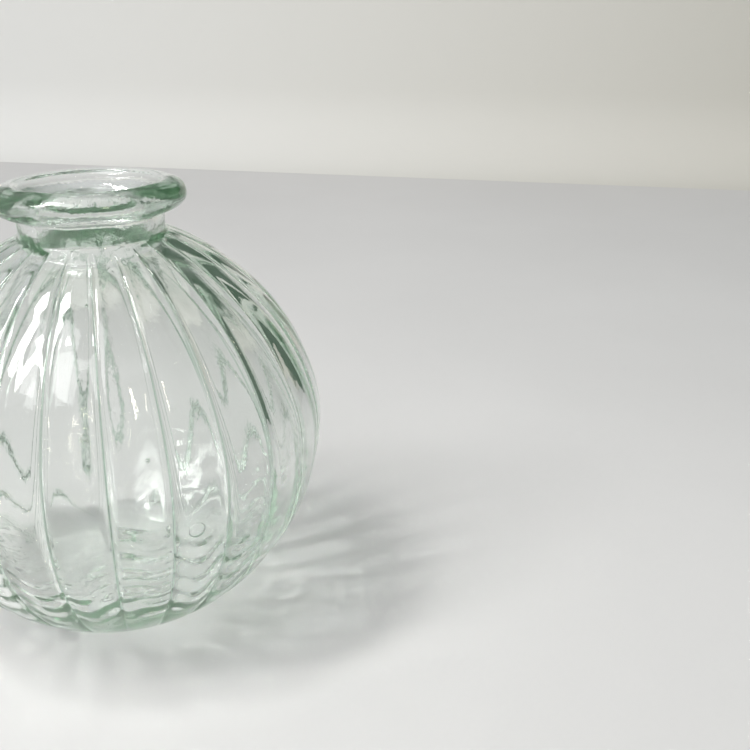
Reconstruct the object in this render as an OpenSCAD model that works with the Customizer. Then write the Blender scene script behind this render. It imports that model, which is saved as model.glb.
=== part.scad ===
// Glass bud vase: a ball body of convex lobes between sharp creases, on a thick smooth base,
// with a short cylindrical neck and a heavy rolled lip.
// The vase is blown and pressed in one piece of glass. Its four solids are the regions that a
// glassmaker shapes one after another, and each meets the next face to face on a level plane:
// base_disc up to heel_z, fluted_body up to shoulder_z, neck_tube up to lip_z, then lip_ring.
// Millimetres, +Z up, origin at the centre of the foot on the table.

/* [Body] */
// Widest diameter of the ball, over the crowns of the lobes
body_d = 96; // [85:1:110]
// Height of the widest level above the table
equator_z = 45.4; // [43:0.1:48]
// Height of the outer ball curve above the equator, if it closed on the axis
crown_h = 46.8; // [44:0.1:50]
// Depth of the outer ball curve below the equator, if it closed on the axis
bowl_h = 49.6; // [48.5:0.1:52]
// Fullness of the outer curve above the equator, where 2 is an ellipse
crown_n = 1.80; // [1.7:0.01:2.2]
// Fullness of the outer curve below the equator
bowl_n = 1.94; // [1.8:0.01:2.2]

/* [Lobes] */
// Number of convex lobes around the body
lobe_n = 24; // [16:1:28]
// Depth of the creases between lobes at the equator
lobe_depth = 1.3; // [0.4:0.1:1.8]
// Turn of the first crease about the axis, from +X
lobe_turn = -107.9; // [-180:0.1:180]

/* [Glass thickness] */
// Wall thickness at the equator
wall = 3.8; // [2.8:0.1:4.5]
// Wall thickness where the ball meets the neck
collar_wall = 6.2; // [4:0.1:6.5]
// Wall thickness low on the ball
foot_wall = 3.8; // [3:0.1:4.5]
// Height of the cavity's floor above the table
floor_z = 4.4; // [4:0.1:8]
// Roundness of the corner between the floor and the wall
floor_round = 3; // [1:0.5:5]

/* [Base] */
// Height of the smooth heel below the lobes
heel_z = 3.0; // [2:0.1:4]
// Radius of the flat ring that the vase stands on, at its outer edge
rest_r_out = 17.6; // [16:0.1:18]
// Radius of the flat ring at its inner edge
rest_r_in = 13.5; // [11:0.1:14.5]
// Rise of the hollow under the base
punt_h = 1.6; // [0.8:0.1:2.2]
// Height at which the outer curve turns under to the flat ring
toe_z = 0.4; // [0.2:0.1:0.8]

/* [Neck and lip] */
// Outer diameter of the neck
neck_d = 31; // [29:0.5:33]
// Bore of the neck, where the stems go through
bore_d = 23; // [20:0.5:25]
// Height of the whole vase
total_h = 100; // [99:0.1:103]
// Outer diameter of the rolled lip
lip_d = 41.4; // [38:0.2:44]
// Height of the rolled lip
lip_h = 6.4; // [5.4:0.1:7]
// Radius of the crest around the mouth
crest_r = 16; // [15.8:0.1:17]
// Radius of the mouth at its inner edge
mouth_r = 15.2; // [14:0.1:15.5]
// Depth of the cupped mouth, from the crest down to where the bore begins
mouth_h = 3.6; // [2.6:0.1:4.6]

/* [Smoothness] */
// Facets across each lobe
lobe_steps = 5; // [3:1:5]
// Rings of facets up the outside of the body
outer_rings = 22; // [14:1:24]
// Rings of facets up the inside of the body
inner_rings = 13; // [8:1:14]

/* [Hidden] */
$fn = 96;
glass_tint = [0.70, 0.84, 0.77, 0.55];

body_r = body_d / 2;
neck_r = neck_d / 2;
bore_r = bore_d / 2;
lip_z = total_h - lip_h;

// The outer ball curve is a superellipse above the equator and another below it. An angle that
// is 0 at the equator and -90 at the foot of the axis walks along it, and a point is [r, z].
function ball(a) =
    let (
        n = a < 0 ? bowl_n : crown_n,
        rise = a < 0 ? -bowl_h * pow(sin(-a), 2 / n) : crown_h * pow(sin(a), 2 / n)
    )
    [body_r * pow(cos(a), 2 / n), equator_z + rise];
function angle_at_z(z) = -asin(pow((equator_z - z) / bowl_h, bowl_n / 2));

shoulder_a = acos(pow(neck_r / body_r, crown_n / 2));
shoulder_z = ball(shoulder_a)[1];
heel_a = angle_at_z(heel_z);

// The cavity lies a wall's thickness inside the ball curve. The wall thickens towards the neck
// and towards the foot, and the cavity never goes below its floor.
function ease(x) = let (t = min(1, max(0, x))) t * t * (3 - 2 * t);
collar_a = 10;
foot_a = -60;
foot_ease_a = 40;
function wall_at(a) =
    wall + (collar_wall - wall) * ease((a - collar_a) / (shoulder_a - collar_a))
    + (foot_wall - wall) * ease((foot_a + foot_ease_a - a) / foot_ease_a);
function ball_normal(a) = let (d = ball(a + 0.5) - ball(a - 0.5)) [d[1], -d[0]] / norm(d);
function above_floor(z) = (z + floor_z + norm([z - floor_z, floor_round])) / 2;
function cavity(a) = let (p = ball(a) - wall_at(a) * ball_normal(a)) [p[0], above_floor(p[1])];

// Lobes: around = places around the body, one crease every lobe_steps of them.
around = lobe_n * lobe_steps;
lobe_fade_h = 8;
function place_angle(k) = lobe_turn + 360 * k / around;
// From -1 at one crease, through 0 on the crown of the lobe, to 1 at the next crease
function across(k) = 2 * (k % lobe_steps) / lobe_steps - 1;
// The creases get shallower towards the axis, and run out on the smooth heel in a rounded end
function run_out(z) = z < heel_z + lobe_fade_h ? sin(90 * (z - heel_z) / lobe_fade_h) : 1;
function crease(r, z) = lobe_depth * sqrt(r / body_r) * run_out(z);
function ring(r, z, depth) = [
    for (k = [0 : around - 1])
        let (r_here = r - depth * pow(across(k), 2))
        [r_here * cos(place_angle(k)), r_here * sin(place_angle(k)), z]
];

// Four-sided facets between ring i and the ring above it
function band(i) = [
    for (k = [0 : around - 1])
        let (next = (k + 1) % around)
        [i * around + k, (i + 1) * around + k, (i + 1) * around + next, i * around + next]
];

// Smooth heel and full-thickness bottom, with the flat ring it stands on and the hollow under it
module base_disc() {
    heel_steps = 6;
    punt_steps = 6;
    toe_a = angle_at_z(toe_z);
    punt = [
        for (i = [0 : punt_steps])
            let (r = rest_r_in * i / punt_steps)
            [r, punt_h * (1 + cos(180 * i / punt_steps)) / 2]
    ];
    // The ball curve goes on down to the toe, just above the flat ring
    heel = [
        for (i = [0 : heel_steps])
            ball(toe_a + (heel_a - toe_a) * i / heel_steps)
    ];
    color(glass_tint)
        rotate_extrude()
            polygon(concat(punt, [[rest_r_out, 0]], heel, [[0, heel_z]]));
}

// Ball shell: lobed outside from the heel to the neck, smooth cavity inside
module fluted_body() {
    outside = [
        for (i = [0 : outer_rings])
            let (p = ball(heel_a + (shoulder_a - heel_a) * i / outer_rings))
            ring(p[0], p[1], i == outer_rings ? 0 : crease(p[0], p[1]))
    ];
    throat = ring(bore_r, shoulder_z, 0);
    inside = [
        for (i = [0 : inner_rings - 1])
            let (p = cavity(shoulder_a - (shoulder_a + 88) * i / (inner_rings - 1)))
            ring(p[0], p[1], 0)
    ];
    rings = concat(outside, [throat], inside);
    points = concat([for (one = rings) for (p = one) p], [[0, 0, cavity(-88)[1]]]);
    last = len(rings) - 1;
    pole = len(points) - 1;
    walls = [for (i = [0 : last - 1]) for (face = band(i)) face];
    cap = [for (k = [0 : around - 1]) [last * around + k, pole, last * around + (k + 1) % around]];
    bottom = [[for (k = [0 : around - 1]) k]];
    color(glass_tint)
        polyhedron(points = points, faces = concat(walls, cap, bottom), convexity = 4);
}

// Short straight neck with the bore that holds the stems
module neck_tube() {
    color(glass_tint)
        difference() {
            translate([0, 0, shoulder_z])
                cylinder(r = neck_r, h = lip_z - shoulder_z);
            translate([0, 0, shoulder_z - 1])
                cylinder(r = bore_r, h = lip_z - shoulder_z + 2);
        }
}

// Rolled lip: full outside like a tyre, with a cupped mouth from the crest down into the bore
module lip_ring() {
    roll_steps = 16;
    edge_steps = 4;
    cup_steps = 8;
    edge_r = crest_r - mouth_r;
    cup_h = mouth_h - edge_r;
    cup_z = total_h - mouth_h;
    // Half an oval, from under the lip round to its crest
    roll = [
        for (i = [0 : roll_steps])
            let (
                a = -90 + 180 * i / roll_steps,
                up = (1 + sin(a)) / 2,
                middle = neck_r + (crest_r - neck_r) * up
            )
            [middle + (lip_d / 2 - middle) * cos(a), lip_z + lip_h * up]
    ];
    // The small round from the crest over into the mouth
    edge = [
        for (i = [1 : edge_steps])
            let (a = 90 * i / edge_steps)
            [crest_r - edge_r * sin(a), total_h - edge_r * (1 - cos(a))]
    ];
    // Steep under the edge, sloping halfway down, and upright again where the bore begins
    cup = [
        for (i = [1 : cup_steps])
            let (down = i / cup_steps)
            [bore_r + (mouth_r - bore_r) * (1 + cos(180 * down)) / 2, cup_z + cup_h * (1 - down)]
    ];
    color(glass_tint)
        rotate_extrude()
            polygon(concat(roll, edge, cup, [[bore_r, lip_z]]));
}

base_disc();
fluted_body();
neck_tube();
lip_ring();
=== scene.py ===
import math

import bmesh
import bpy
import numpy as np
from mathutils import Matrix, Vector


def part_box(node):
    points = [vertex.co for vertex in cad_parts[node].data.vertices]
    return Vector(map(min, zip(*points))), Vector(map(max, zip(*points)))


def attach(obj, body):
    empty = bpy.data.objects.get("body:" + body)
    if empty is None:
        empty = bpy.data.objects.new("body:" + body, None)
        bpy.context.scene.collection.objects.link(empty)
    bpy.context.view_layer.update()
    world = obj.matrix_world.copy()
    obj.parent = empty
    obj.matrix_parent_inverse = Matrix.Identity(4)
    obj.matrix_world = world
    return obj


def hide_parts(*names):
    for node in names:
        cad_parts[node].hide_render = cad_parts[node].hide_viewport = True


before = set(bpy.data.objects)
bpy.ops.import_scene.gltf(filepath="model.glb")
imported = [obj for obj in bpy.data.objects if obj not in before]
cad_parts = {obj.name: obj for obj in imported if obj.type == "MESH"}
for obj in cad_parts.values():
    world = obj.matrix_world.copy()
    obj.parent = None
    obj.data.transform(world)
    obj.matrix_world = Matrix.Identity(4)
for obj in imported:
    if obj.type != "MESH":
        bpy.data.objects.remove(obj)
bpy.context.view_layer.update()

# Glass bud vase. One continuous glass mesh stands for the four CAD regions, because a face inside
# the glass, where two regions meet, would mirror and bend light that real glass lets straight on.
# Lengths are in millimetres, in the CAD frame, until MM turns them into metres.
MM = 0.001
SEED = 24


# ---------------------------------------------------------------- sizes

def box_mm(node):
    low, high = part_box(node)
    return [v / MM for v in low], [v / MM for v in high]


BASE_LOW, BASE_HIGH = box_mm("base_disc")
NECK_LOW, NECK_HIGH = box_mm("neck_tube")
LIP_LOW, LIP_HIGH = box_mm("lip_ring")

HEEL_Z = BASE_HIGH[2]
SHOULDER_Z = NECK_LOW[2]
LIP_Z = LIP_LOW[2]
TOP_Z = LIP_HIGH[2]
NECK_R = NECK_HIGH[0]
LIP_R = LIP_HIGH[0]

# The ball: superellipses above and below its widest level, outside and in
BODY_R = 48.0
EQUATOR_Z = 45.4
CROWN_H, BOWL_H = 46.8, 49.6
CROWN_N, BOWL_N = 1.80, 1.94
# The wall thickens from COLLAR_A, in degrees above the widest level, up to the neck
WALL, COLLAR_WALL, COLLAR_A = 3.8, 6.2, 10
FLOOR_Z = 4.4
FLOOR_ROUND = 3.0
BORE_R = 11.5
CREST_R, MOUTH_R = 16.0, 15.2
CUP_Z = 96.4
REST_R_OUT, REST_R_IN = 17.6, 13.5
PUNT_H = 1.6
TOE_Z = 0.4

LOBES = 24
LOBE_TURN = math.radians(-107.9)
LOBE_DEPTH = 1.3
LOBE_FADE_H = 8.0
# The last stretch below the neck, where the mesh is finer
COLLAR_Z = SHOULDER_Z - 6.0


# ---------------------------------------------------------------- outline

def ball(a):
    """Point on the outer ball curve at angle a, in radians, which is 0 at the widest level."""
    n = CROWN_N if a >= 0 else BOWL_N
    rise = CROWN_H * math.sin(a) ** (2 / n) if a >= 0 else -BOWL_H * math.sin(-a) ** (2 / n)
    return np.array([BODY_R * math.cos(a) ** (2 / n), EQUATOR_Z + rise])


TOE_A = -math.asin(((EQUATOR_Z - TOE_Z) / BOWL_H) ** (BOWL_N / 2))
SHOULDER_A = math.acos((NECK_R / BODY_R) ** (CROWN_N / 2))


def ease(x):
    t = min(1, max(0, x))
    return t * t * (3 - 2 * t)


def wall_at(a):
    """Wall thickness along the ball: even, and heavier by the neck."""
    collar = ease((math.degrees(a) - COLLAR_A) / (math.degrees(SHOULDER_A) - COLLAR_A))
    return WALL + (COLLAR_WALL - WALL) * collar


def cavity(a):
    """Point on the cavity's wall: a wall's thickness in from the ball, and never below the floor."""
    reach = 0.008
    along = ball(a + reach) - ball(a - reach)
    normal = np.array([along[1], -along[0]]) / np.hypot(*along)
    r, z = ball(a) - wall_at(a) * normal
    return r, (z + FLOOR_Z + math.hypot(z - FLOOR_Z, FLOOR_ROUND)) / 2


def outline():
    """The half section, from the middle of the underside, up the outside and down the inside.

    Each point is r, z and the name of its stretch.
    """
    points = []
    for t in np.linspace(0, 1, 30):
        points.append((REST_R_IN * t, PUNT_H * (1 + math.cos(math.pi * t)) / 2, "under"))
    points.append((REST_R_OUT, 0.0, "under"))
    for a in np.linspace(TOE_A, SHOULDER_A, 500):
        r, z = ball(a)
        points.append((r, z, "ball" if z < COLLAR_Z else "collar"))
    points.append((NECK_R, LIP_Z, "neck"))
    for a in np.linspace(-math.pi / 2, math.pi / 2, 60)[1:]:
        up = (1 + math.sin(a)) / 2
        middle = NECK_R + (CREST_R - NECK_R) * up
        r = middle + (LIP_R - middle) * math.cos(a)
        points.append((r, LIP_Z + (TOP_Z - LIP_Z) * up, "lip"))
    edge_r = CREST_R - MOUTH_R
    for a in np.linspace(0, math.pi / 2, 12)[1:]:
        r = CREST_R - edge_r * math.sin(a)
        points.append((r, TOP_Z - edge_r * (1 - math.cos(a)), "edge"))
    for down in np.linspace(0, 1, 30)[1:]:
        r = BORE_R + (MOUTH_R - BORE_R) * (1 + math.cos(math.pi * down)) / 2
        points.append((r, CUP_Z + (TOP_Z - edge_r - CUP_Z) * (1 - down), "cup"))
    points.append((BORE_R, SHOULDER_Z, "cup"))
    for a in np.linspace(SHOULDER_A, math.radians(-89), 500):
        r, z = cavity(a)
        points.append((r, z, "cavity" if z < COLLAR_Z - COLLAR_WALL else "throat"))
    points.append((0.0, points[-1][1], "cavity"))
    return points


# Row spacing along each stretch of the outline, and how far fire-polishing rounds its corners
SPACING = {
    "under": 1.8, "ball": 1.1, "collar": 0.6, "neck": 0.6, "lip": 0.5,
    "edge": 0.3, "cup": 0.7, "throat": 0.9, "cavity": 1.4,
}
ROUNDING = {
    "under": 0.5, "ball": 1.8, "collar": 0.3, "neck": 0.3, "lip": 0.35,
    "edge": 0.15, "cup": 0.3, "throat": 0.8, "cavity": 1.6,
}
# The outline is worked out in steps of FINE. Spacing and rounding change over BLEND from one
# stretch to the next. The reaches are counts of steps, past which a weight is nothing.
FINE = 0.1
BLEND = 0.8
BLEND_REACH = 60
ROUNDING_REACH = 120


def bell(reach, width):
    """Weights of a bell curve, over as many steps of FINE to each side as reach says."""
    w = np.exp(-0.5 * (np.arange(-reach, reach + 1) * FINE / width) ** 2)
    return w / w.sum()


def rows():
    """Rows of the mesh: r, z, and how far each belongs to the ball's outside and to the cavity."""
    points = outline()
    rz = np.array([p[:2] for p in points])
    kind = [p[2] for p in points]
    s = np.concatenate([[0], np.cumsum(np.hypot(*np.diff(rz, axis=0).T))])
    fine = np.arange(0, s[-1], FINE)
    r = np.interp(fine, s, rz[:, 0])
    z = np.interp(fine, s, rz[:, 1])
    near = np.clip(np.searchsorted(s, fine), 0, len(s) - 1)
    names = [kind[i] for i in near]
    sigma = np.array([ROUNDING[n] for n in names])
    step = np.array([SPACING[n] for n in names])
    w = bell(BLEND_REACH, BLEND)
    sigma = np.convolve(np.pad(sigma, BLEND_REACH, mode="edge"), w, mode="valid")
    step = np.convolve(np.pad(step, BLEND_REACH, mode="edge"), w, mode="valid")
    # The outline goes on past the axis as its own mirror image, so that both poles stay level
    pad = ROUNDING_REACH
    r_all = np.concatenate([-r[pad:0:-1], r, -r[-2:-pad - 2:-1]])
    z_all = np.concatenate([z[pad:0:-1], z, z[-2:-pad - 2:-1]])
    outside = np.array([n in ("ball", "collar") for n in names], float)
    inside = np.array([n in ("cavity", "throat") for n in names], float)
    smooth = np.empty((len(fine), 4))
    out_all = np.pad(outside, pad, mode="edge")
    in_all = np.pad(inside, pad, mode="edge")
    for i in range(len(fine)):
        w = bell(pad, sigma[i])
        part = slice(i, i + 2 * pad + 1)
        smooth[i] = [np.dot(w, c[part]) for c in (r_all, z_all, out_all, in_all)]
    # Places along the outline, at the wanted spacing
    count = np.concatenate([[0], np.cumsum(FINE / step)])[:-1]
    total = int(round(count[-1]))
    places = np.interp(np.linspace(0, count[-1], total + 1), count, fine)
    table = np.array([np.interp(places, fine, smooth[:, c]) for c in range(4)]).T
    table[0, 0] = 0
    table[-1, 0] = 0
    # Smoothing lifts the flat ring a little, so the section goes back down onto the table
    table[:, 1] -= table[:, 1].min()
    return table


# ---------------------------------------------------------------- glass mesh

# Places across each lobe, and how far they crowd towards the creases
PER_LOBE = 14
CROWDING = 0.7
# The crease is a broad dip and a sharp one together. Its bottom is rounded, as a share of half a lobe
CREASE_SOFT = 0.015
CREASE_SHARE = 0.6
CREASE_POWER = 16
# How far the lobes show on the inner wall
INNER_LOBE = 0.25
# Unevenness: broad waves of the inner and the outer wall, ripples low on the inner wall, and tooling
BROAD_IN, BROAD_OUT = 0.26, 0.05
RIPPLE, RIPPLE_PITCH, RIPPLE_SAG = 0.24, 4.4, 2.2
RIPPLE_FULL_Z, RIPPLE_END_Z = 30, 52
TOOLING = 0.07
# Slope of the crest, up towards the front
LIP_LEAN = 0.038


def around():
    """Angles round the vase, close together at the creases, and where each lies across its lobe."""
    v = np.linspace(-1, 1, PER_LOBE, endpoint=False)
    u = (1 - CROWDING) * v + CROWDING * np.sin(math.pi * v / 2)
    across = np.tile(u, LOBES)
    lobe = np.repeat(np.arange(LOBES), PER_LOBE)
    return LOBE_TURN + 2 * math.pi * (lobe + (across + 1) / 2) / LOBES, across


def crease(across):
    """0 on the crown of a lobe and 1 in the crease, with the bottom of the groove rounded."""
    soft = np.sqrt((1 - np.abs(across)) ** 2 + CREASE_SOFT ** 2) - CREASE_SOFT
    x = 1 - soft / (math.sqrt(1 + CREASE_SOFT ** 2) - CREASE_SOFT)
    return (1 - CREASE_SHARE) * x ** 2 + CREASE_SHARE * x ** CREASE_POWER


def waves(rng, theta, z, count, most_turns, pitch):
    """Gentle unevenness of blown glass, from -1 to 1 or so: waves round the vase and up it."""
    total = np.zeros((len(z), len(theta)))
    for _ in range(count):
        turns = rng.integers(0, most_turns + 1)
        length = pitch * rng.uniform(0.7, 1.6)
        phase, lean = rng.uniform(0, 2 * math.pi, 2)
        total += np.sin(turns * theta[None, :] + 2 * math.pi * z[:, None] / length + phase
                        + 0.6 * np.sin(theta[None, :] + lean))
    return total / math.sqrt(count)


def smoothstep(x, low, high):
    t = np.clip((x - low) / (high - low), 0, 1)
    return t * t * (3 - 2 * t)


def glass_grid(rng):
    """The glass as a grid: angles, radii and heights, with the outline's normals and outer share."""
    table = rows()
    r, z, outside, inside = table.T
    theta, across = around()
    tangent = np.gradient(table[:, :2], axis=0)
    tangent /= np.hypot(tangent[:, 0], tangent[:, 1])[:, None]
    normal = np.stack([tangent[:, 1], -tangent[:, 0]], axis=1)
    away = np.clip(r / 8, 0, 1)

    # The creases run out on the smooth heel and just below the neck
    fade = smoothstep(z, HEEL_Z - 1, HEEL_Z + LOBE_FADE_H)
    fade *= 1 - smoothstep(z, SHOULDER_Z - 1.5, SHOULDER_Z)
    cut = LOBE_DEPTH * np.sqrt(np.clip(r / BODY_R, 0, 1)) * fade * outside
    inner_cut = INNER_LOBE * inside * smoothstep(r, 14, 30)
    radial = r[:, None] - cut[:, None] * crease(across)[None, :]
    radial -= inner_cut[:, None] * (1 - np.cos(math.pi * across))[None, :] / 2

    broad_in = waves(rng, theta, z, 9, 7, 22.0)
    broad_out = waves(rng, theta, z, 9, 9, 26.0)
    # Ripples go round the vase, sag in the middle of each lobe and wander up and down
    slow_lag = waves(rng, theta, z, 5, 6, 40.0)
    quick_lag = waves(rng, theta, z, 5, 40, 60.0)
    lag = 1.8 * slow_lag + 1.6 * quick_lag - RIPPLE_SAG * across[None, :] ** 2
    ripple = np.sin(2 * math.pi * (z[:, None] + lag) / RIPPLE_PITCH)
    ripple *= 0.75 + 0.35 * waves(rng, theta, z, 4, 9, 24.0)
    low = smoothstep(z, FLOOR_Z, FLOOR_Z + 3) * (1 - smoothstep(z, RIPPLE_FULL_Z, RIPPLE_END_Z))
    inner_push = BROAD_IN * broad_in + RIPPLE * low[:, None] * ripple
    push = inside[:, None] * away[:, None] * inner_push
    push += outside[:, None] * BROAD_OUT * broad_out * fade[:, None]
    top = smoothstep(z, SHOULDER_Z, LIP_Z)
    push += top[:, None] * TOOLING * waves(rng, theta, z, 7, 11, 9.0)

    radial = radial + push * normal[:, :1]
    height = z[:, None] + push * normal[:, 1:]
    # The lip was finished by hand, and leans a little to the back
    lean = LIP_LEAN * smoothstep(z, SHOULDER_Z + 1, TOP_Z)
    height -= lean[:, None] * radial * np.sin(theta)[None, :]
    return theta, radial, height, normal, outside


# Seeds are small air bubbles caught in the wall, long along the way the glass was drawn.
# Lengths are half sizes. The smallest are the most common.
SEED_COUNT = 46
SEED_SIZE, SEED_GROWTH = 0.10, 0.28
SEED_STRETCH = (1.0, 1.9)
SEED_DEPTH = (0.9, 1.8)
# Seeds placed one by one: turn, level, half width, half height, half thickness, depth in the wall
MARKED_SEEDS = [
    (-82.7, 54.6, 0.42, 0.42, 0.32, 1.2),
    (-72.0, 37.0, 1.8, 1.8, 0.07, 1.5),
]


def seed_mesh():
    """A small round template for a bubble, as points and faces that look inwards."""
    bm = bmesh.new()
    bmesh.ops.create_icosphere(bm, subdivisions=2, radius=1.0)
    points = np.array([v.co for v in bm.verts])
    faces = [[v.index for v in reversed(f.verts)] for f in bm.faces]
    bm.free()
    return points, faces


def seed_list(rng, ball_rows, height):
    """Each seed's row in the grid and its turn, then its half width, height, thickness and depth."""
    seeds = []
    for _ in range(SEED_COUNT):
        row = rng.choice(ball_rows)
        place = rng.uniform(0, 2 * math.pi)
        size = SEED_SIZE + SEED_GROWTH * rng.uniform() ** 3
        tall = size * rng.uniform(*SEED_STRETCH)
        seeds.append((row, place, size, tall, size, rng.uniform(*SEED_DEPTH)))
    for turn, level, wide, tall, thick, deep in MARKED_SEEDS:
        row = ball_rows[np.argmin(np.abs(height[ball_rows].mean(axis=1) - level))]
        seeds.append((row, math.radians(turn), wide, tall, thick, deep))
    return seeds


def wall_faces(n_rows, n_around):
    """Faces of the grid, whose first and last rows are single points on the axis."""
    j = np.arange(n_around)
    nxt = (j + 1) % n_around
    faces = [[0, 1 + n, 1 + k] for k, n in zip(j, nxt)]
    for i in range(n_rows - 3):
        a = 1 + i * n_around
        b = a + n_around
        faces += [[a + k, a + n, b + n, b + k] for k, n in zip(j, nxt)]
    a = 1 + (n_rows - 3) * n_around
    last = a + n_around
    faces += [[a + k, a + n, last] for k, n in zip(j, nxt)]
    return faces


def glass_vase():
    """The whole vase as one closed mesh, with its seeds as small closed hollows in the wall."""
    rng = np.random.default_rng(SEED)
    theta, radial, height, normal, outside = glass_grid(rng)
    x = radial * np.cos(theta)[None, :]
    y = radial * np.sin(theta)[None, :]
    grid = np.stack([x, y, height], axis=-1)
    poles = grid[[0, -1]].mean(axis=1)
    verts = [poles[:1], grid[1:-1].reshape(-1, 3), poles[1:]]
    faces = wall_faces(*radial.shape)

    bubble, bubble_faces = seed_mesh()
    start = sum(len(part) for part in verts)
    seeds = seed_list(rng, np.flatnonzero(outside > 0.9), height)
    for row, place, wide, tall, thick, deep in seeds:
        j = np.argmin(np.abs(np.angle(np.exp(1j * (theta - place)))))
        cos, sin = math.cos(place), math.sin(place)
        out = np.array([normal[row, 0] * cos, normal[row, 0] * sin, normal[row, 1]])
        side = np.array([-sin, cos, 0.0])
        up = np.cross(out, side)
        centre = np.array([radial[row, j] * cos, radial[row, j] * sin, height[row, j]])
        axes = np.stack([wide * side, tall * up, thick * out])
        verts.append(centre - deep * out + bubble @ axes)
        faces += [[start + i for i in f] for f in bubble_faces]
        start += len(bubble)

    mesh = bpy.data.meshes.new("vase_glass")
    mesh.from_pydata((np.concatenate(verts) * MM).tolist(), [], faces)
    mesh.validate()
    mesh.update()
    mesh.polygons.foreach_set("use_smooth", [True] * len(mesh.polygons))
    vase = bpy.data.objects.new("vase_glass", mesh)
    bpy.context.scene.collection.objects.link(vase)
    return vase


# ---------------------------------------------------------------- materials

def node(tree, kind, **values):
    """A new node, with the given values on its inputs."""
    n = tree.nodes.new(kind)
    for name, value in values.items():
        n.inputs[name].default_value = value
    return n


def new_material(name):
    """A material, with its node tree, its shader and its output."""
    material = bpy.data.materials.new(name)
    material.use_nodes = True
    tree = material.node_tree
    return material, tree, tree.nodes["Principled BSDF"], tree.nodes["Material Output"]


def ramp(tree, source, low, high, start=0.35, end=0.65):
    """A colour that goes from low to high as the source goes from start to end."""
    r = tree.nodes.new("ShaderNodeValToRGB")
    r.color_ramp.elements[0].position = start
    r.color_ramp.elements[1].position = end
    r.color_ramp.elements[0].color = (*low, 1)
    r.color_ramp.elements[1].color = (*high, 1)
    tree.links.new(source, r.inputs["Fac"])
    return r.outputs["Color"]


def blend(tree, share, low, high):
    """A mix of two colours. The low one may also be another node's output."""
    mix = tree.nodes.new("ShaderNodeMix")
    mix.data_type = "RGBA"
    tree.links.new(share, mix.inputs[0])
    first, second = [socket for socket in mix.inputs if socket.type == "RGBA"]
    if isinstance(low, tuple):
        first.default_value = (*low, 1)
    else:
        tree.links.new(low, first)
    second.default_value = (*high, 1)
    return next(socket for socket in mix.outputs if socket.type == "RGBA")


def maths(tree, operation, a, b):
    """A math node's output, from an output and either an output or a number."""
    n = tree.nodes.new("ShaderNodeMath")
    n.operation = operation
    tree.links.new(a, n.inputs[0])
    if isinstance(b, float):
        n.inputs[1].default_value = b
    else:
        tree.links.new(b, n.inputs[1])
    return n.outputs[0]


def between(tree, value, low, high):
    """0 at low and 1 at high, with a smooth change between the two."""
    n = tree.nodes.new("ShaderNodeMapRange")
    n.interpolation_type = "SMOOTHSTEP"
    n.inputs["From Min"].default_value = low
    n.inputs["From Max"].default_value = high
    tree.links.new(value, n.inputs["Value"])
    return n.outputs["Result"]


# Painted shade along the grooves: its green, with the line's faint and full edges as shares of a lobe
GROOVE_PAINTED_SHADE = (0.50, 0.65, 0.55)
GROOVE_EDGE, GROOVE_CORE = 0.032, 0.008


def painted_groove_shade(tree, level):
    """Where shade is painted: 1 along the grooves between the lobes and 0 elsewhere, fading at the
    heel and by the neck.
    """
    per_turn = LOBES / (2 * math.pi)
    turn = maths(tree, "ARCTAN2", level.outputs["Y"], level.outputs["X"])
    lobe = maths(tree, "MULTIPLY", turn, per_turn)
    # A whole turn more keeps the count of lobes above 0
    lobe = maths(tree, "SUBTRACT", lobe, LOBE_TURN * per_turn - LOBES)
    off_groove = maths(tree, "PINGPONG", lobe, 0.5)
    line = between(tree, off_groove, GROOVE_EDGE, GROOVE_CORE)
    above = between(tree, level.outputs["Z"], HEEL_Z * MM, (HEEL_Z + LOBE_FADE_H) * MM)
    below = between(tree, level.outputs["Z"], SHOULDER_Z * MM, (SHOULDER_Z - 8) * MM)
    return maths(tree, "MULTIPLY", line, maths(tree, "MULTIPLY", above, below))


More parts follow.
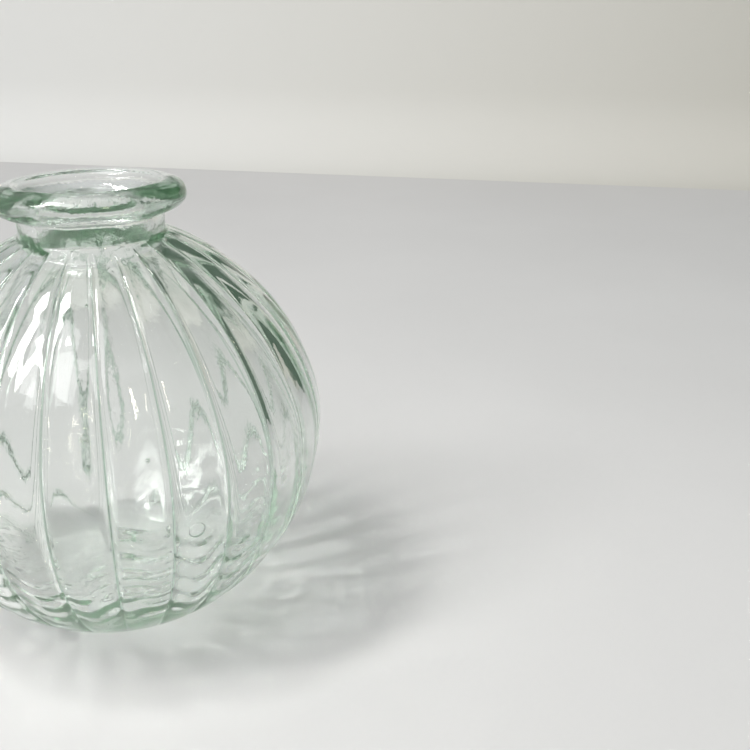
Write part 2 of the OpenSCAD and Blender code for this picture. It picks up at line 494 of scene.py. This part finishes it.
def green_glass():
    """Pale green glass: clear where it's thin, and green where light goes a long way through it."""
    material, tree, shader, output = new_material("pale_green_glass")
    where = tree.nodes.new("ShaderNodeTexCoord")
    level = tree.nodes.new("ShaderNodeSeparateXYZ")
    tree.links.new(where.outputs["Object"], level.inputs[0])
    shader.inputs["Transmission Weight"].default_value = 1.0
    shader.inputs["IOR"].default_value = 1.52
    absorb = node(tree, "ShaderNodeVolumeAbsorption", Density=15.0)
    absorb.inputs["Color"].default_value = (0.43, 0.63, 0.47, 1)
    tree.links.new(absorb.outputs["Volume"], output.inputs["Volume"])
    # Cords: slow streaks of slightly different glass
    streaks = node(tree, "ShaderNodeTexNoise", Scale=55.0, Detail=3.0, Distortion=0.8)
    tree.links.new(where.outputs["Object"], streaks.inputs["Vector"])
    cords_and_groove_shade = ramp(tree, streaks.outputs["Fac"], (0.995, 0.999, 0.997), (1.0, 1.0, 1.0))
    # Painted shade: thin green lines in the grooves darken them, as bent light darkens the grooves of
    # real glass
    cords_and_groove_shade = blend(tree, painted_groove_shade(tree, level), cords_and_groove_shade, GROOVE_PAINTED_SHADE)
    tree.links.new(cords_and_groove_shade, shader.inputs["Base Color"])
    # The mould leaves a fine skin, and fire-polishing evens most of it
    skin = node(tree, "ShaderNodeTexNoise", Scale=900.0, Detail=3.0, Roughness=0.55)
    tree.links.new(where.outputs["Object"], skin.inputs["Vector"])
    rough = node(tree, "ShaderNodeMapRange")
    rough.inputs["To Min"].default_value = 0.0
    rough.inputs["To Max"].default_value = 0.05
    tree.links.new(skin.outputs["Fac"], rough.inputs["Value"])
    tree.links.new(rough.outputs["Result"], shader.inputs["Roughness"])
    bump = node(tree, "ShaderNodeBump", Strength=0.12, Distance=0.0001)
    tree.links.new(skin.outputs["Fac"], bump.inputs["Height"])
    # Tooling leaves the neck and the lip finely dimpled
    tooled = node(tree, "ShaderNodeMapRange")
    tooled.inputs["From Min"].default_value = (SHOULDER_Z - 3) * MM
    tooled.inputs["From Max"].default_value = (SHOULDER_Z + 1) * MM
    tooled.inputs["To Max"].default_value = 0.22
    tree.links.new(level.outputs["Z"], tooled.inputs["Value"])
    dimples = node(tree, "ShaderNodeTexNoise", Scale=1100.0, Detail=2.0, Roughness=0.5)
    tree.links.new(where.outputs["Object"], dimples.inputs["Vector"])
    dimpled = node(tree, "ShaderNodeBump", Distance=0.00025)
    tree.links.new(tooled.outputs["Result"], dimpled.inputs["Strength"])
    tree.links.new(dimples.outputs["Fac"], dimpled.inputs["Height"])
    tree.links.new(bump.outputs["Normal"], dimpled.inputs["Normal"])
    tree.links.new(dimpled.outputs["Normal"], shader.inputs["Normal"])
    return material


def matt_material(name):
    """A matt material, with its node tree, its shader and its texture coordinates."""
    material, tree, shader, _ = new_material(name)
    shader.inputs["Roughness"].default_value = 0.7
    shader.inputs["Specular IOR Level"].default_value = 0.2
    return material, tree, shader, tree.nodes.new("ShaderNodeTexCoord")


def table_paint():
    """Matt grey-white paint with a slow, faint mottle."""
    material, tree, shader, where = matt_material("table_paint")
    mottle = node(tree, "ShaderNodeTexNoise", Scale=9.0, Detail=4.0)
    tree.links.new(where.outputs["Object"], mottle.inputs["Vector"])
    colour = ramp(tree, mottle.outputs["Fac"], (0.60, 0.595, 0.595), (0.62, 0.615, 0.615))
    tree.links.new(colour, shader.inputs["Base Color"])
    return material


def backdrop_paint_and_shade():
    """Pale paint with shade painted on: a little darker and warmer towards the right, away from the
    windows on the left.
    """
    material, tree, shader, where = matt_material("backdrop_paint_and_shade")
    side = tree.nodes.new("ShaderNodeSeparateXYZ")
    tree.links.new(where.outputs["Generated"], side.inputs[0])
    # Painted shade: the colour darkens and warms from the middle to the right edge
    colour = ramp(tree, side.outputs["X"], (0.79, 0.79, 0.78), (0.59, 0.575, 0.525), 0.5, 1.0)
    tree.links.new(colour, shader.inputs["Base Color"])
    return material


# ---------------------------------------------------------------- stage, light and camera

# Metres. The table lies a hair under the vase, so that glass and paint never share a plane
FLOOR_GAP = 0.00006
TABLE_FRONT = -0.34
# The table ends on this line, and a cove joins it to the backdrop behind
TABLE_LEFT, TABLE_RIGHT = Vector((-0.70, 0.918)), Vector((0.47, 0.316))
BACKDROP_H = 0.2
COVE_R = 0.05


def sheet(name, rows_of_points, material):
    """A sheet through rows of points, with as many points in every row."""
    points = [p for row in rows_of_points for p in row]
    n = len(rows_of_points[0])
    faces = []
    for i in range(len(rows_of_points) - 1):
        for j in range(n - 1):
            k = i * n + j
            faces.append([k, k + 1, k + n + 1, k + n])
    mesh = bpy.data.meshes.new(name)
    mesh.from_pydata(points, [], faces)
    mesh.materials.append(material)
    mesh.polygons.foreach_set("use_smooth", [True] * len(mesh.polygons))
    ob = bpy.data.objects.new(name, mesh)
    bpy.context.scene.collection.objects.link(ob)
    return ob


def stage():
    """The table, and the backdrop that stands along its far edge."""
    z = -FLOOR_GAP
    along = (TABLE_RIGHT - TABLE_LEFT).normalized()
    back = Vector((-along[1], along[0]))
    front = [(TABLE_LEFT[0], TABLE_FRONT, z), (TABLE_RIGHT[0], TABLE_FRONT, z)]
    sheet("table_top", [front, [(*TABLE_LEFT, z), (*TABLE_RIGHT, z)]], table_paint())
    # The cove is a quarter circle, and the backdrop goes straight up from it
    turns = np.linspace(0, math.pi / 2, 13)
    section = [(COVE_R * math.sin(t), COVE_R * (1 - math.cos(t))) for t in turns]
    section += [(COVE_R, 2 * COVE_R), (COVE_R, BACKDROP_H)]
    sheet("backdrop", [
        [(*(TABLE_LEFT + depth * back), z + rise), (*(TABLE_RIGHT + depth * back), z + rise)]
        for depth, rise in section
    ], backdrop_paint_and_shade())


def aim(ob, place, target):
    """Puts a lamp at a place and turns it to face a target."""
    place, target = Vector(place), Vector(target)
    turn = (target - place).to_track_quat("-Z", "Y").to_matrix().to_4x4()
    ob.matrix_world = Matrix.Translation(place) @ turn


def area_light(name, place, width, height, power, colour):
    """A lit panel that faces the widest level of the vase."""
    lamp = bpy.data.lights.new(name, "AREA")
    lamp.shape = "RECTANGLE"
    lamp.size = width
    lamp.size_y = height
    lamp.energy = power
    lamp.color = colour
    ob = bpy.data.objects.new(name, lamp)
    bpy.context.scene.collection.objects.link(ob)
    aim(ob, place, (0, 0, EQUATOR_Z * MM))


def direction(turn, rise):
    """Unit vector at a turn to the left from the front, -Y, and a rise above the table, in degrees."""
    t, e = math.radians(turn), math.radians(rise)
    return Vector((-math.sin(t) * math.cos(e), -math.cos(t) * math.cos(e), math.sin(e)))


# Light of the room on the window's side and on the other, and where one turns into the other
BRIGHT_SIDE = (0.67, 0.67, 0.675)
DIM_SIDE = (0.075, 0.120, 0.085)
WINDOW_SIDE = Vector((-0.72, -0.10, 0.68)).normalized()
DIM_UNTIL, BRIGHT_FROM = -0.1, 0.65


def room():
    """Bright on the window's side, and dim and faintly green on the right and low down."""
    world = bpy.data.worlds.new("room")
    bpy.context.scene.world = world
    world.use_nodes = True
    tree = world.node_tree
    where = tree.nodes.new("ShaderNodeTexCoord")
    facing = tree.nodes.new("ShaderNodeVectorMath")
    facing.operation = "DOT_PRODUCT"
    facing.inputs[1].default_value = WINDOW_SIDE
    tree.links.new(where.outputs["Generated"], facing.inputs[0])
    glow = between(tree, facing.outputs["Value"], DIM_UNTIL, BRIGHT_FROM)
    sky = tree.nodes["Background"]
    tree.links.new(blend(tree, glow, DIM_SIDE, BRIGHT_SIDE), sky.inputs["Color"])
    sky.inputs["Strength"].default_value = 1.0


def lights():
    """Three windows on the left and a small warm lamp to the right of the camera."""
    white, daylight, warm = (1.0, 1.0, 1.0), (1.0, 0.99, 0.97), (1.0, 0.90, 0.72)
    area_light("window", direction(40, 57) * 0.65, 0.22, 0.38, 1.0, white)
    area_light("tall_window", direction(75, 54) * 0.8, 0.10, 0.40, 2.8, daylight)
    area_light("roof_window", direction(92, 70) * 0.8, 0.10, 0.16, 1.7, (1.0, 1.0, 0.99))
    area_light("lamp", direction(-17, 38) * 1.0, 0.02, 0.22, 0.5, warm)
    room()


def camera():
    """The view from the front, above the vase: place in body radii, aim in radians."""
    distance, rise = 5.043, 3.081
    yaw, pitch, roll = 0.2529, 0.3771, -0.0072
    level_share = math.cos(pitch)
    forward = Vector((math.sin(yaw) * level_share, math.cos(yaw) * level_share, -math.sin(pitch)))
    right = Vector((math.cos(yaw), -math.sin(yaw), 0))
    up = right.cross(forward)
    tilt = Matrix.Rotation(-roll, 3, forward)
    right, up = tilt @ right, tilt @ up
    data = bpy.data.cameras.new("camera")
    data.sensor_width = 36.0
    data.lens = 53.3952
    data.clip_start = 0.01
    ob = bpy.data.objects.new("camera", data)
    bpy.context.scene.collection.objects.link(ob)
    turn = Matrix((right, up, -forward)).transposed().to_4x4()
    ob.matrix_world = Matrix.Translation(Vector((0, -distance, rise)) * BODY_R * MM) @ turn
    bpy.context.scene.camera = ob


def light_paths():
    """Light goes many times to and fro in glass, and its patterns on the table are caustics."""
    scene = bpy.context.scene
    scene.view_settings.view_transform = "Standard"
    scene.cycles.max_bounces = 64
    scene.cycles.transmission_bounces = 64
    scene.cycles.glossy_bounces = 64
    scene.cycles.caustics_refractive = True
    scene.cycles.caustics_reflective = True
    scene.cycles.blur_glossy = 0.0
    scene.cycles.sample_clamp_indirect = 40.0
    scene.cycles.use_denoising = True


# ---------------------------------------------------------------- the build

camera()
stage()
lights()
light_paths()

glass = glass_vase()
glass.data.materials.append(green_glass())
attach(glass, "root")
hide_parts("base_disc", "fluted_body", "neck_tube", "lip_ring")
